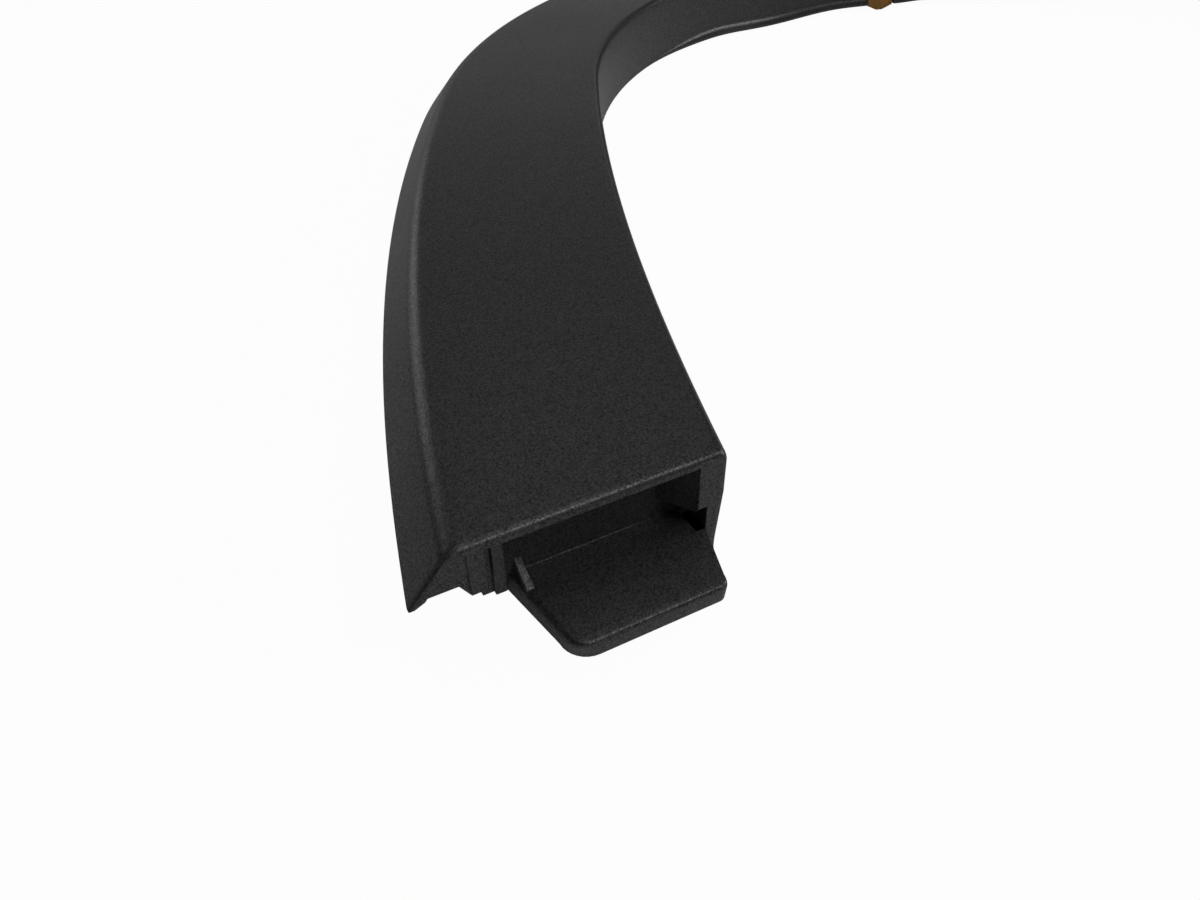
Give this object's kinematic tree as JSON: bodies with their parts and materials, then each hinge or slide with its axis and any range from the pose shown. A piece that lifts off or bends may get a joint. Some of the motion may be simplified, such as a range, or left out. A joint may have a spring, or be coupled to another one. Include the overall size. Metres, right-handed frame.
{
  "type": "wheel arch trim",
  "caption": "Grained plastic wheel arch moulding with a flat face, an outer bevel, a flange round the opening, a joining tongue at one end and amber retaining clips.",
  "frame": {"origin": "middle of the bounding box in X and Y, at the lowest points, which are the blunt points of the edge clips", "axes": "+X from the leg with the joining tongue to the plain leg, +Y up the arch to its crown, +Z out of the visible face"},
  "size_m": [0.895, 0.642, 0.0455],
  "materials": {
    "moulding": "matte, fine grain",
    "clips": "translucent amber nylon, satin"
  },
  "bodies": {
    "root": {"arch_moulding": "moulding", "body_clip_1": "clips", "body_clip_2": "clips", "body_clip_3": "clips", "body_clip_4": "clips", "body_clip_5": "clips", "body_clip_6": "clips", "body_clip_7": "clips", "body_clip_8": "clips", "body_clip_9": "clips", "edge_clip_1": "clips", "edge_clip_2": "clips", "edge_clip_3": "clips", "edge_clip_4": "clips", "edge_clip_5": "clips"}
  },
  "joints": []
}
